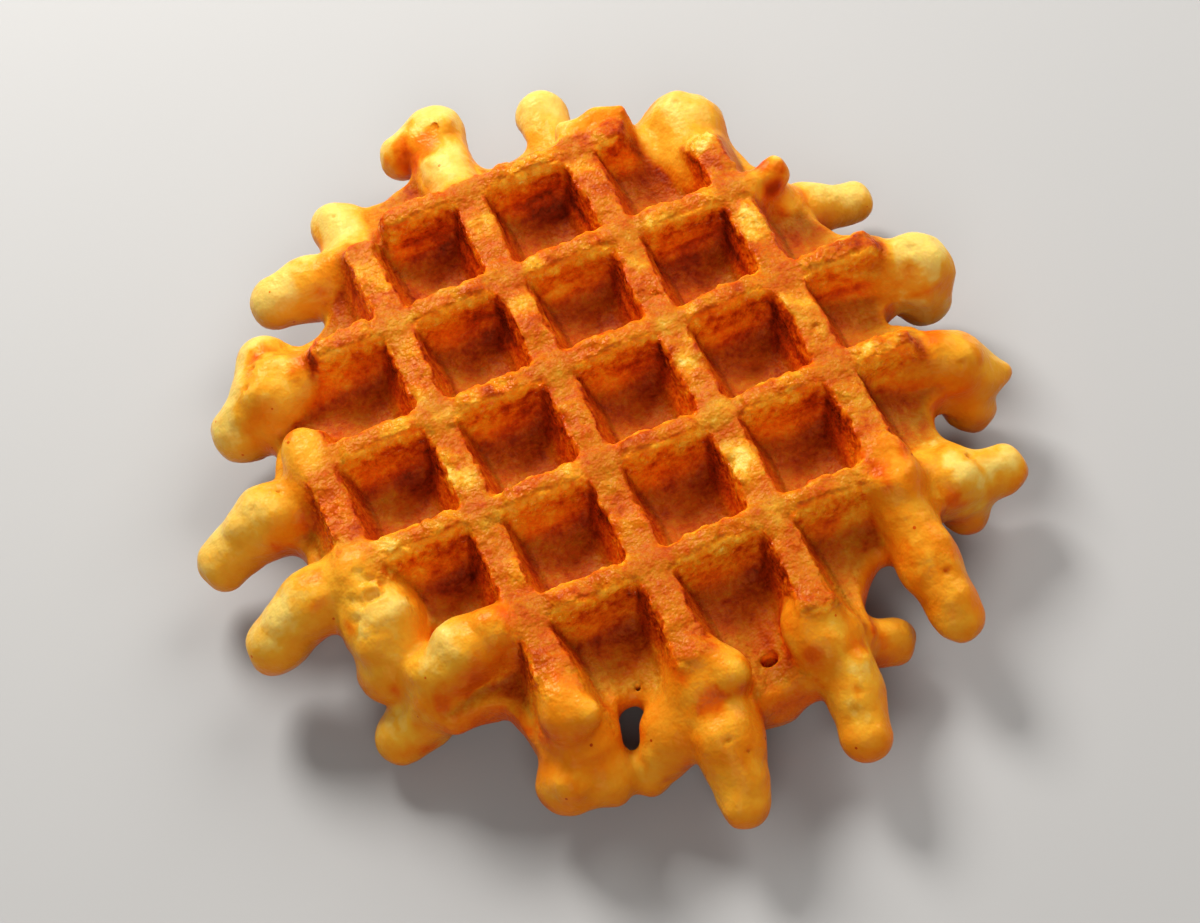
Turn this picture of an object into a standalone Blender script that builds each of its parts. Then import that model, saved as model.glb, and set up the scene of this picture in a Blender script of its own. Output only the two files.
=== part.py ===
"""A deep-pocket waffle, as one closed solid: a thin web with tapered ribs on both faces and free batter
lobes round its uneven edge. Metres, +Z up. The origin is under the crossing of rib lines A2 and B3, on
the plane that the lower ribs rest on. X runs along the A lines and Y along the B lines."""

import math

import bmesh
import bpy
from mathutils import Matrix, Vector

# Driving sizes of the iron, in metres
PITCH = 0.022
THICKNESS = 0.027
WEB_LOW = 0.011
WEB_HIGH = 0.016
A_TOP_WIDTH = 0.0033
B_TOP_WIDTH = 0.0045
RIB_BASE_WIDTH = 0.0104
# On the upper face the B ribs are this much lower, and the A ribs dip to them where they cross
B_TOPS_LOWER = 0.0012
# A rib's end slopes: its top stops this much short of its foot
RIB_END_SLOPE = 0.0030
# No section of a rib, apart from its two ends, is nearer to an end than this, in pitches
END_CLEARANCE = 0.2

# The rib crossing over the origin: the A line and the B line that meet there
ORIGIN_A = 2
ORIGIN_B = 3

# How finely the batter is fused, rounded and then reduced to few triangles
FUSE_VOXEL = 0.0009
ROUNDING_PASSES = 4
KEPT_FACES = 0.062
# The lower ribs are made this much too deep, and pared off flat at the resting plane
BASE_TRIM = 0.0006
OVERLAP = 0.0012

COLOUR = (0.72, 0.29, 0.05, 1.0)
ROUGHNESS = 0.55

# Where the ribs' crisp tops start and end, in pitches. A lines run along X and B lines along Y.
A_RIBS = {0: (2.20, 4.49), 1: (1.22, 5.22), 2: (1.07, 5.85), 3: (0.95, 5.70), 4: (1.62, 5.05)}
B_RIBS = {1: (1.68, 3.30), 2: (0.03, 4.85), 3: (-0.15, 4.95), 4: (-0.15, 4.95), 5: (0.30, 4.10)}

# The web's edge, in pitches as (B coordinate, A coordinate): out along each rib, in at the arch between
WEB_EDGE = (
    (2.02, -0.52), (2.42, -0.64), (2.95, -0.76), (3.42, -0.50), (3.95, -0.58), (4.48, -0.26),
    (5.05, -0.15), (5.30, 0.48), (5.50, 1.00), (5.72, 1.52), (5.95, 2.00), (5.68, 2.46),
    (5.95, 3.00), (5.62, 3.50), (5.62, 4.00), (5.24, 4.25), (5.00, 4.60), (4.66, 4.50),
    (4.40, 4.72), (4.22, 5.05), (4.00, 5.30), (3.74, 5.24), (3.36, 5.26), (3.00, 5.45),
    (2.74, 5.05), (2.54, 4.80), (2.26, 4.76), (2.02, 5.00), (1.76, 4.80), (1.54, 4.38),
    (1.15, 4.38), (1.02, 4.02), (1.36, 3.70), (1.08, 3.42), (0.80, 3.20), (0.68, 2.85),
    (0.64, 2.45), (0.55, 2.08), (0.74, 1.60), (0.74, 1.10), (1.18, 0.62), (1.48, 0.38),
    (1.60, 0.05), (1.72, -0.28),
)

# Free batter beyond the ribs. A lobe is a chain of balls, joined by tapered rods, and each ball is
# (B coordinate, A coordinate) in pitches, then height and radius in millimetres.
LOBES = {
    "b2_back": ((2.00, -0.10, 15.0, 4.5), (1.94, -0.58, 13.8, 5.0)),
    "b3_back": ((3.00, -0.10, 18.0, 4.8), (3.00, -0.60, 16.0, 5.0), (3.03, -1.05, 15.3, 6.2)),
    "b3_back_side": ((3.00, -1.05, 14.5, 5.8), (2.74, -1.05, 13.5, 4.6)),
    "b4_back": ((3.92, -0.30, 14.0, 4.2), (3.98, -0.86, 13.8, 4.7)),
    "b5_back": ((4.95, 0.40, 17.0, 5.5), (5.00, -0.10, 15.5, 7.4)),
    "b5_back_side": ((5.00, -0.10, 15.5, 7.0), (4.72, 0.05, 13.0, 5.2)),
    "a1_right": ((5.35, 1.00, 14.0, 4.6), (5.62, 1.00, 10.0, 4.6), (6.05, 1.02, 7.2, 3.8)),
    "a2_right": ((5.70, 2.02, 18.0, 5.0), (6.13, 2.18, 16.6, 5.5), (6.12, 2.22, 8.8, 5.2)),
    "a3_right": ((5.60, 3.00, 18.0, 5.0), (5.95, 3.14, 16.0, 5.1), (6.02, 3.32, 7.4, 5.0)),
    "a3_right_knob": ((5.96, 3.15, 13.5, 4.2), (6.16, 3.24, 13.0, 3.9), (6.32, 3.28, 12.5, 1.8)),
    "a4_right": ((5.15, 4.00, 16.0, 5.0), (5.48, 4.04, 13.0, 5.4), (5.90, 4.08, 11.8, 4.8)),
    "a4_right_low": ((5.48, 4.04, 13.0, 5.2), (5.56, 4.12, 6.5, 4.8)),
    "b5_bun": ((5.00, 3.90, 22.0, 4.4), (5.00, 4.07, 22.6, 4.4)),
    "b5_front": ((4.97, 4.15, 19.5, 4.8), (4.98, 4.70, 15.5, 4.8), (5.00, 5.15, 12.5, 4.5)),
    "b4_bun": ((3.90, 4.85, 20.5, 4.6), (3.92, 5.02, 19.0, 5.0)),
    "b4_front": ((4.02, 5.00, 17.0, 5.0), (4.04, 5.35, 14.0, 4.9), (3.97, 5.70, 11.5, 4.3)),
    "a5_right": ((4.00, 5.00, 13.0, 4.8), (4.52, 5.02, 8.5, 4.0)),
    "a5_middle": ((3.00, 5.05, 13.0, 4.6), (3.50, 5.05, 8.5, 4.2), (4.00, 5.00, 13.0, 4.6)),
    "b3_bun": ((3.00, 4.85, 20.5, 4.5), (3.14, 5.02, 21.0, 4.4)),
    "b3_front": ((3.00, 5.00, 18.0, 5.0), (3.00, 5.35, 15.0, 5.4), (2.93, 5.82, 10.5, 4.3)),
    "a5_left": ((2.95, 5.00, 18.0, 5.0), (2.68, 5.10, 12.5, 5.5), (2.42, 5.22, 7.0, 4.0)),
    "b2_bun": ((2.00, 4.60, 21.5, 4.2), (1.98, 4.84, 21.5, 4.6)),
    "b2_front": ((2.00, 4.90, 14.0, 5.0), (1.78, 5.10, 10.0, 5.2)),
    "b2_front_side": ((2.00, 4.90, 14.0, 5.0), (2.10, 5.15, 9.5, 4.8)),
    "a4_ridge": ((1.75, 3.98, 21.8, 4.6), (1.45, 3.97, 20.2, 4.9), (1.19, 3.99, 17.0, 5.2)),
    "a4_left": ((1.20, 4.03, 14.0, 5.0), (0.98, 4.05, 7.0, 5.2), (0.82, 4.10, 6.0, 4.8)),
    "a3_left": ((0.95, 3.00, 20.5, 5.0), (0.55, 3.02, 18.0, 5.3), (0.20, 3.08, 13.5, 5.4)),
    "b1_front": ((0.95, 3.05, 21.5, 5.0), (0.99, 3.44, 18.8, 6.5), (0.94, 3.68, 14.8, 6.2)),
    "a2_left": ((0.95, 2.10, 18.0, 5.0), (0.50, 2.05, 15.5, 6.2), (0.00, 2.12, 11.0, 4.6)),
    "b1_back": ((0.95, 2.00, 21.0, 4.5), (0.93, 1.76, 22.3, 4.6)),
    "a1_left": ((1.10, 0.95, 17.0, 6.0), (0.85, 0.95, 14.5, 7.6), (0.55, 1.02, 12.0, 6.2)),
    "a1_left_side": ((0.85, 0.95, 14.5, 7.0), (0.92, 0.60, 17.0, 4.8)),
    "a0_left": ((1.85, 0.00, 17.0, 4.6), (1.50, -0.02, 15.5, 5.1), (1.22, -0.03, 15.0, 4.8)),
    "a0_crisp": ((4.02, -0.16, 18.0, 3.4), (4.40, -0.13, 18.0, 3.4), (4.62, -0.02, 15.5, 3.2)),
    "a0_crisp_face": ((4.00, -0.20, 22.5, 2.4), (4.44, -0.16, 22.3, 2.2)),
    "a0_crisp_edge": ((4.00, -0.25, 25.0, 1.7), (4.28, -0.24, 25.2, 1.5), (4.49, -0.19, 25.8, 1.2)),
    "a1_crisp": ((5.10, 1.01, 22.8, 2.4), (5.32, 0.99, 22.8, 2.2), (5.41, 0.97, 23.6, 1.7)),
    "a1_crisp_edge": ((5.35, 0.97, 24.4, 1.4), (5.43, 0.94, 25.8, 1.2)),
    "a1_end": ((5.10, 1.00, 17.5, 3.8), (5.36, 1.00, 16.5, 3.6)),
}
BALL_SEGMENTS = 20
BALL_RINGS = 12

# A small hole through the front edge of the web, as (B coordinate, A coordinate) in pitches
WEB_HOLE = (3.54, 4.93)
WEB_HOLE_RADIUS = 0.0012
WEB_HOLE_SIDES = 12


def place(b, a, height=0.0):
    """The world point at B and A coordinates in pitches, and a height in metres."""
    return Vector(((b - ORIGIN_B) * PITCH, (ORIGIN_A - a) * PITCH, height))


def clear_scene():
    for old in list(bpy.data.objects):
        bpy.data.objects.remove(old, do_unlink=True)


def new_collection(name):
    collection = bpy.data.collections.new(name)
    bpy.context.scene.collection.children.link(collection)
    return collection


def add_web(batter):
    """The thin web between the two plates, with its uneven edge."""
    outline = bpy.data.curves.new("web_edge", "CURVE")
    outline.dimensions = "2D"
    outline.fill_mode = "BOTH"
    outline.extrude = (WEB_HIGH - WEB_LOW) / 2
    outline.resolution_u = 5
    spline = outline.splines.new("BEZIER")
    spline.bezier_points.add(len(WEB_EDGE) - 1)
    for point, (b, a) in zip(spline.bezier_points, WEB_EDGE):
        point.co = place(b, a)
        point.handle_left_type = "AUTO"
        point.handle_right_type = "AUTO"
    spline.use_cyclic_u = True
    guide = bpy.data.objects.new("web_edge", outline)
    bpy.context.scene.collection.objects.link(guide)
    guide.location.z = (WEB_HIGH + WEB_LOW) / 2
    bpy.context.view_layer.update()
    evaluated = guide.evaluated_get(bpy.context.evaluated_depsgraph_get())
    mesh = bpy.data.meshes.new_from_object(evaluated)
    mesh.transform(guide.matrix_world)
    batter.from_mesh(mesh)
    bpy.data.meshes.remove(mesh)
    bpy.data.objects.remove(guide, do_unlink=True)


def rib_stations(first, last):
    """Where a rib's sections are, in pitches: each one's foot and top. They are half a pitch apart."""
    slope = RIB_END_SLOPE / PITCH / 2
    first_half = math.ceil(2 * (first + END_CLEARANCE))
    last_half = math.floor(2 * (last - END_CLEARANCE))
    between = [(half / 2, half / 2) for half in range(first_half, last_half + 1)]
    return [(first - slope, first + slope), *between, (last + slope, last - slope)]


def add_rib(batter, line, ends, along_x, face):
    """One tapered bar on an A line or a B line. Its narrow side is at the waffle's upper or lower face."""
    top_width = A_TOP_WIDTH if along_x else B_TOP_WIDTH
    sections = []
    for foot_at, top_at in rib_stations(*ends):
        if face == "upper":
            dips = not along_x or top_at == round(top_at)
            top_height = THICKNESS - (B_TOPS_LOWER if dips else 0.0)
            foot_height = WEB_HIGH - OVERLAP
        else:
            top_height = -BASE_TRIM
            foot_height = WEB_LOW + OVERLAP
        corners = []
        for at, side, width, height in (
            (foot_at, -1, RIB_BASE_WIDTH, foot_height),
            (foot_at, 1, RIB_BASE_WIDTH, foot_height),
            (top_at, 1, top_width, top_height),
            (top_at, -1, top_width, top_height),
        ):
            off_line = line + side * width / PITCH / 2
            corners.append(place(at, off_line, height) if along_x else place(off_line, at, height))
        sections.append([batter.verts.new(corner) for corner in corners])
    faces = [batter.faces.new(sections[0]), batter.faces.new(sections[-1])]
    for section, following in zip(sections, sections[1:]):
        for i in range(4):
            j = (i + 1) % 4
            faces.append(batter.faces.new((section[i], section[j], following[j], following[i])))
    bmesh.ops.recalc_face_normals(batter, faces=faces)


def add_ribs(batter):
    for face in ("upper", "lower"):
        for a, ends in A_RIBS.items():
            add_rib(batter, a, ends, True, face)
        for b, ends in B_RIBS.items():
            add_rib(batter, b, ends, False, face)


def add_ball(batter, centre, radius):
    bmesh.ops.create_uvsphere(
        batter,
        u_segments=BALL_SEGMENTS,
        v_segments=BALL_RINGS,
        radius=radius,
        matrix=Matrix.Translation(centre),
    )


def add_rod(batter, start, start_radius, end, end_radius):
    """A tapered rod that touches both balls, from one centre to the other."""
    along = end - start
    turn = along.to_track_quat("Z", "Y").to_matrix().to_4x4()
    bmesh.ops.create_cone(
        batter,
        cap_ends=True,
        segments=BALL_SEGMENTS,
        radius1=start_radius,
        radius2=end_radius,
        depth=along.length,
        matrix=Matrix.Translation((start + end) / 2) @ turn,
    )


def add_lobes(batter):
    for chain in LOBES.values():
        balls = [(place(b, a, height / 1000), radius / 1000) for b, a, height, radius in chain]
        for centre, radius in balls:
            add_ball(batter, centre, radius)
        for (start, start_radius), (end, end_radius) in zip(balls, balls[1:]):
            add_rod(batter, start, start_radius, end, end_radius)


def crust_material():
    material = bpy.data.materials.new("waffle_crust")
    material.use_nodes = True
    shader = material.node_tree.nodes["Principled BSDF"]
    shader.inputs["Base Color"].default_value = COLOUR
    shader.inputs["Roughness"].default_value = ROUGHNESS
    shader.inputs["Metallic"].default_value = 0.0
    material.diffuse_color = COLOUR
    return material


def new_cutter(name, shape, helpers):
    """A helper object for a Boolean, left out of the part."""
    mesh = bpy.data.meshes.new(name)
    shape.to_mesh(mesh)
    shape.free()
    cutter = bpy.data.objects.new(name, mesh)
    cutter.hide_render = True
    cutter.display_type = "WIRE"
    helpers.objects.link(cutter)
    return cutter


def base_block(helpers):
    """Everything above the resting plane. Keeping what is inside it pares the base off flat."""
    size = PITCH * 12
    block = bmesh.new()
    bmesh.ops.create_cube(block, size=size, matrix=Matrix.Translation((0.0, 0.0, size / 2)))
    return new_cutter("base_block", block, helpers)


def web_hole(helpers):
    rod = bmesh.new()
    bmesh.ops.create_cone(
        rod,
        cap_ends=True,
        segments=WEB_HOLE_SIDES,
        radius1=WEB_HOLE_RADIUS,
        radius2=WEB_HOLE_RADIUS,
        depth=THICKNESS * 2,
        matrix=Matrix.Translation(place(*WEB_HOLE)),
    )
    return new_cutter("web_hole", rod, helpers)


def build_waffle():
    parts = new_collection("Waffle")
    helpers = new_collection("Waffle helpers")
    batter = bmesh.new()
    add_web(batter)
    add_ribs(batter)
    add_lobes(batter)
    mesh = bpy.data.meshes.new("waffle")
    batter.to_mesh(mesh)
    batter.free()
    mesh.materials.append(crust_material())
    waffle = bpy.data.objects.new("waffle", mesh)
    parts.objects.link(waffle)

    fuse = waffle.modifiers.new("Fuse", "REMESH")
    fuse.mode = "VOXEL"
    fuse.voxel_size = FUSE_VOXEL
    soften = waffle.modifiers.new("Soften", "SMOOTH")
    soften.iterations = ROUNDING_PASSES
    reduce = waffle.modifiers.new("Reduce", "DECIMATE")
    reduce.ratio = KEPT_FACES
    pare = waffle.modifiers.new("Pare", "BOOLEAN")
    pare.operation = "INTERSECT"
    pare.solver = "EXACT"
    pare.object = base_block(helpers)
    drill = waffle.modifiers.new("Drill", "BOOLEAN")
    drill.operation = "DIFFERENCE"
    drill.solver = "EXACT"
    drill.object = web_hole(helpers)


clear_scene()
build_waffle()
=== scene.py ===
import itertools
import math

import bpy
import numpy as np
from mathutils import Matrix, Vector


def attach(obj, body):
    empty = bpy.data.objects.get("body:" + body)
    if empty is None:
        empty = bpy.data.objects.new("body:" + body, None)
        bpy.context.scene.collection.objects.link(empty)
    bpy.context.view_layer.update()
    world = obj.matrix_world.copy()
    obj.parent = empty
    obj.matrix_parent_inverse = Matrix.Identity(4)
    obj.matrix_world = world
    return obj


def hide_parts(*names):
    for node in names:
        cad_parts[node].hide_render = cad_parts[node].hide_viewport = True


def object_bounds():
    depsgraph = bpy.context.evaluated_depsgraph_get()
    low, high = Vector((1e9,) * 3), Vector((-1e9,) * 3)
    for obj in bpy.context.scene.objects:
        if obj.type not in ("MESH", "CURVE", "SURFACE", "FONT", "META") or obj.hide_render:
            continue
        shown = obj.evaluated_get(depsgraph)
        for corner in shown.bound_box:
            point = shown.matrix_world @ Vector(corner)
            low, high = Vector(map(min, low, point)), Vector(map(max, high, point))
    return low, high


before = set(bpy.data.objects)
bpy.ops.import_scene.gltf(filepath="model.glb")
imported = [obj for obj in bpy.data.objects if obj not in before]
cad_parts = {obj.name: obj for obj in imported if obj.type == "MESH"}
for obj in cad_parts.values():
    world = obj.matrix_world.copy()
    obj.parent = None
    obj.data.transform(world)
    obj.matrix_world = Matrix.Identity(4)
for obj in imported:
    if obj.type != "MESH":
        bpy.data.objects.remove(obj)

cad_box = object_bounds()

# Everything about the waffle's shape is in millimetres, or in pitches of its grid, and goes to metres
# when its mesh is made. A lines run along X and B lines along Y. B coordinates grow to +X, and A
# coordinates grow to -Y. These are the sizes that the solid is made from.
PITCH = 22.0
THICKNESS = 27.0
WEB_LOW = 11.0
WEB_HIGH = 16.0
WEB_MIDDLE = (WEB_LOW + WEB_HIGH) / 2
A_TOP_WIDTH = 3.3
B_TOP_WIDTH = 4.5
RIB_BASE_WIDTH = 10.4
B_TOPS_LOWER = 1.2
RIB_END_SLOPE = 3.0
ORIGIN_A = 2
ORIGIN_B = 3
MM = 0.001

A_RIBS = {0: (2.20, 4.49), 1: (1.22, 5.22), 2: (1.07, 5.85), 3: (0.95, 5.70), 4: (1.62, 5.05)}
B_RIBS = {1: (1.68, 3.30), 2: (0.03, 4.85), 3: (-0.15, 4.95), 4: (-0.15, 4.95), 5: (0.30, 4.10)}

WEB_EDGE = (
    (2.02, -0.52), (2.42, -0.64), (2.95, -0.76), (3.42, -0.50), (3.95, -0.58), (4.48, -0.26),
    (5.05, -0.15), (5.30, 0.48), (5.50, 1.00), (5.72, 1.52), (5.95, 2.00), (5.68, 2.46),
    (5.95, 3.00), (5.62, 3.50), (5.62, 4.00), (5.24, 4.25), (5.00, 4.60), (4.66, 4.50),
    (4.40, 4.72), (4.22, 5.05), (4.00, 5.30), (3.74, 5.24), (3.36, 5.26), (3.00, 5.45),
    (2.74, 5.05), (2.54, 4.80), (2.26, 4.76), (2.02, 5.00), (1.76, 4.80), (1.54, 4.38),
    (1.15, 4.38), (1.02, 4.02), (1.36, 3.70), (1.08, 3.42), (0.80, 3.20), (0.68, 2.85),
    (0.64, 2.45), (0.55, 2.08), (0.74, 1.60), (0.74, 1.10), (1.18, 0.62), (1.48, 0.38),
    (1.60, 0.05), (1.72, -0.28),
)

# Each ball is (B coordinate, A coordinate, height, radius)
LOBES = {
    "b2_back": ((2.00, -0.10, 15.0, 4.5), (1.94, -0.58, 13.8, 5.0)),
    "b3_back": ((3.00, -0.10, 18.0, 4.8), (3.00, -0.60, 16.0, 5.0), (3.03, -1.05, 15.3, 6.2)),
    "b3_back_side": ((3.00, -1.05, 14.5, 5.8), (2.74, -1.05, 13.5, 4.6)),
    "b4_back": ((3.92, -0.30, 14.0, 4.2), (3.98, -0.86, 13.8, 4.7)),
    "b5_back": ((4.95, 0.40, 17.0, 5.5), (5.00, -0.10, 15.5, 7.4)),
    "b5_back_side": ((5.00, -0.10, 15.5, 7.0), (4.72, 0.05, 13.0, 5.2)),
    "a1_right": ((5.35, 1.00, 14.0, 4.6), (5.62, 1.00, 10.0, 4.6), (6.05, 1.02, 7.2, 3.8)),
    "a2_right": ((5.70, 2.02, 18.0, 5.0), (6.13, 2.18, 16.6, 5.5), (6.12, 2.22, 8.8, 5.2)),
    "a3_right": ((5.60, 3.00, 18.0, 5.0), (5.95, 3.14, 16.0, 5.1), (6.02, 3.32, 7.4, 5.0)),
    "a3_right_knob": ((5.96, 3.15, 13.5, 4.2), (6.16, 3.24, 13.0, 3.9), (6.32, 3.28, 12.5, 1.8)),
    "a4_right": ((5.15, 4.00, 16.0, 5.0), (5.48, 4.04, 13.0, 5.4), (5.90, 4.08, 11.8, 4.8)),
    "a4_right_low": ((5.48, 4.04, 13.0, 5.2), (5.56, 4.12, 6.5, 4.8)),
    "b5_bun": ((5.00, 3.90, 22.0, 4.4), (5.00, 4.07, 22.6, 4.4)),
    "b5_front": ((4.97, 4.15, 19.5, 4.8), (4.98, 4.70, 15.5, 4.8), (5.00, 5.15, 12.5, 4.5)),
    "b4_bun": ((3.90, 4.85, 20.5, 4.6), (3.92, 5.02, 19.0, 5.0)),
    "b4_front": ((4.02, 5.00, 17.0, 5.0), (4.04, 5.35, 14.0, 4.9), (3.97, 5.70, 11.5, 4.3)),
    "a5_right": ((4.00, 5.00, 13.0, 4.8), (4.52, 5.02, 8.5, 4.0)),
    "a5_middle": ((3.00, 5.05, 13.0, 4.6), (3.50, 5.05, 8.5, 4.2), (4.00, 5.00, 13.0, 4.6)),
    "b3_bun": ((3.00, 4.85, 20.5, 4.5), (3.14, 5.02, 21.0, 4.4)),
    "b3_front": ((3.00, 5.00, 18.0, 5.0), (3.00, 5.35, 15.0, 5.4), (2.93, 5.82, 10.5, 4.3)),
    "a5_left": ((2.95, 5.00, 18.0, 5.0), (2.68, 5.10, 12.5, 5.5), (2.42, 5.22, 7.0, 4.0)),
    "b2_bun": ((2.00, 4.60, 21.5, 4.2), (1.98, 4.84, 21.5, 4.6)),
    "b2_front": ((2.00, 4.90, 14.0, 5.0), (1.78, 5.10, 10.0, 5.2)),
    "b2_front_side": ((2.00, 4.90, 14.0, 5.0), (2.10, 5.15, 9.5, 4.8)),
    "a4_ridge": ((1.75, 3.98, 21.8, 4.6), (1.45, 3.97, 20.2, 4.9), (1.19, 3.99, 17.0, 5.2)),
    "a4_left": ((1.20, 4.03, 14.0, 5.0), (0.98, 4.05, 7.0, 5.2), (0.82, 4.10, 6.0, 4.8)),
    "a3_left": ((0.95, 3.00, 20.5, 5.0), (0.55, 3.02, 18.0, 5.3), (0.20, 3.08, 13.5, 5.4)),
    "b1_front": ((0.95, 3.05, 21.5, 5.0), (0.99, 3.44, 18.8, 6.5), (0.94, 3.68, 14.8, 6.2)),
    "a2_left": ((0.95, 2.10, 18.0, 5.0), (0.50, 2.05, 15.5, 6.2), (0.00, 2.12, 11.0, 4.6)),
    "b1_back": ((0.95, 2.00, 21.0, 4.5), (0.93, 1.76, 22.3, 4.6)),
    "a1_left": ((1.10, 0.95, 17.0, 6.0), (0.85, 0.95, 14.5, 7.6), (0.55, 1.02, 12.0, 6.2)),
    "a1_left_side": ((0.85, 0.95, 14.5, 7.0), (0.92, 0.60, 17.0, 4.8)),
    "a0_left": ((1.85, 0.00, 17.0, 4.6), (1.50, -0.02, 15.5, 5.1), (1.22, -0.03, 15.0, 4.8)),
    "a0_crisp": ((4.02, -0.16, 18.0, 3.4), (4.40, -0.13, 18.0, 3.4), (4.62, -0.02, 15.5, 3.2)),
    "a0_crisp_face": ((4.00, -0.20, 22.5, 2.4), (4.44, -0.16, 22.3, 2.2)),
    "a0_crisp_edge": ((4.00, -0.25, 25.0, 1.7), (4.28, -0.24, 25.2, 1.5), (4.49, -0.19, 25.8, 1.2)),
    "a1_crisp": ((5.10, 1.01, 22.8, 2.4), (5.32, 0.99, 22.8, 2.2), (5.41, 0.97, 23.6, 1.7)),
    "a1_crisp_edge": ((5.35, 0.97, 24.4, 1.4), (5.43, 0.94, 25.8, 1.2)),
    "a1_end": ((5.10, 1.00, 17.5, 3.8), (5.36, 1.00, 16.5, 3.6)),
}

# Small knobs on the lobes: (B coordinate, A coordinate, height, radius)
KNOBS = (
    (1.72, 3.90, 24.5, 2.2), (1.50, 4.08, 23.2, 2.3), (1.36, 3.90, 22.9, 2.2), (1.22, 4.06, 20.3, 2.4),
    (1.10, 3.94, 19.6, 2.1), (3.08, 5.30, 18.7, 2.4), (2.90, 5.42, 18.1, 2.3), (3.02, 5.72, 14.1, 2.1),
    (2.84, 5.86, 12.7, 2.0), (3.20, 5.10, 23.2, 2.2), (0.60, 3.08, 21.4, 2.5), (0.30, 3.05, 19.0, 2.7),
    (1.10, 3.48, 23.4, 2.5), (0.86, 3.62, 20.5, 2.7), (5.06, 4.62, 18.9, 2.1), (5.00, 5.08, 15.7, 2.0),
    (4.12, 5.28, 17.5, 2.2), (3.96, 5.52, 15.7, 2.0), (0.78, 1.05, 20.5, 2.8), (0.96, 0.84, 20.7, 2.6),
    (0.60, 1.00, 17.6, 2.5), (0.52, 2.12, 20.3, 2.4), (0.25, 2.08, 17.6, 2.4), (3.08, -0.98, 20.2, 2.4),
    (6.18, 2.26, 20.4, 2.2), (6.02, 2.10, 20.7, 2.2), (5.52, 4.12, 17.2, 2.3), (5.80, 4.10, 15.1, 2.0),
    (6.00, 3.20, 19.7, 2.1), (5.84, 3.08, 20.1, 2.2), (2.10, 4.96, 24.6, 2.1), (1.80, 5.18, 14.0, 2.3),
)
KNOB_BLEND = 2.0

# How finely the surface is found, and how far it reaches past the solid's box
CELL = 0.5
MARGIN = 2.5
MOST_TRIANGLES = 190000

# How wide the fillets are, where one form meets another
A_RIB_EDGE = 1.6
B_RIB_EDGE = 0.8
RIB_END_ROUND = 2.5
RIB_CORNER = 1.8
FLOOR_CORNER = 5.0
WEB_EDGE_ROUND = 2.4
LOBE_BLEND = 2.6
LOBE_TO_BODY = 2.8
FACE_EDGE = 0.8
HOLE_EDGE = 0.6

# Small holes through the web: (B coordinate, A coordinate, half width, half length)
HOLES = ((3.54, 4.93, 1.4, 1.1), (2.56, 4.70, 0.55, 0.5))

# Pores in the crust of the lobes and tops: (B coordinate, A coordinate, radius)
PORES = (
    (0.99, 3.34, 1.1), (1.10, 3.27, 0.6), (5.02, 4.90, 0.7), (5.95, 3.30, 0.7), (2.96, 5.50, 0.6),
    (3.06, 5.60, 0.5), (2.86, 5.62, 0.5), (4.02, 5.52, 0.6), (3.92, 5.62, 0.5), (0.44, 3.06, 0.5),
    (0.62, 2.04, 0.6), (0.40, 2.10, 0.5), (0.70, 0.98, 0.7), (0.82, 0.80, 0.5), (1.94, -0.50, 0.5),
    (3.02, -0.92, 0.6), (4.98, -0.16, 0.6), (6.06, 2.16, 0.7), (5.98, 2.30, 0.5), (5.66, 4.02, 0.6),
    (1.30, 3.98, 0.5), (3.02, 2.62, 0.5), (2.02, 1.62, 0.5), (4.02, 1.70, 0.5), (5.02, 2.60, 0.6),
)
PORE_EDGE = 0.5
# How far a pore's middle is above the surface, in its own radius
PORE_RISE = 0.3

# Flakes that stand off the ribs' front edges: (B coordinate, A coordinate, height, length, turn)
FLAKES = (
    (4.34, 3.05, 25.4, 3.2, 0.5), (2.38, 2.05, 25.4, 2.6, 0.4), (3.30, 4.05, 25.4, 2.6, 0.4),
)
FLAKE_RADIUS = 0.7
FLAKE_BLEND = 0.5
# How much higher a flake's free end is, and how much thinner
FLAKE_RISE = 0.6
FLAKE_TAPER = 0.4


def grid_to_mm(b, a):
    return (b - ORIGIN_B) * PITCH, (ORIGIN_A - a) * PITCH


def smooth_min(first, second, width):
    mix = np.clip(0.5 + 0.5 * (second - first) / width, 0.0, 1.0)
    return second + (first - second) * mix - width * mix * (1.0 - mix)


def smooth_max(first, second, width):
    return -smooth_min(-first, -second, width)


def smooth_step(low, high, value):
    t = np.clip((value - low) / (high - low), 0.0, 1.0)
    return t * t * (3.0 - 2.0 * t)


def blend(first, second, share):
    """From the first, at a share of 0, to the second, at a share of 1."""
    return first + (second - first) * share


def columns(points):
    """The points' x, y and z, as three arrays."""
    return [points[:, axis] for axis in range(3)]


# Large numbers that scatter a place's whole numbers, then shifts and factors that mix the bits
PLACE_FACTORS = (73856093, 19349663, 83492791, 2654435761)
BIT_MIXING = ((15, 2246822519), (13, 3266489917), (16, 1))


def hashed(*whole):
    """A number from 0 to 1 for each whole-numbered place, the same in each run."""
    mixed = np.zeros(whole[0].shape, np.uint32)
    for value, factor in zip(whole, PLACE_FACTORS):
        mixed ^= value.astype(np.int64).astype(np.uint32) * np.uint32(factor)
    for shift, factor in BIT_MIXING:
        mixed ^= mixed >> shift
        mixed *= np.uint32(factor)
    return (mixed / float(2 ** 32 - 1)).astype(np.float32)


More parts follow.
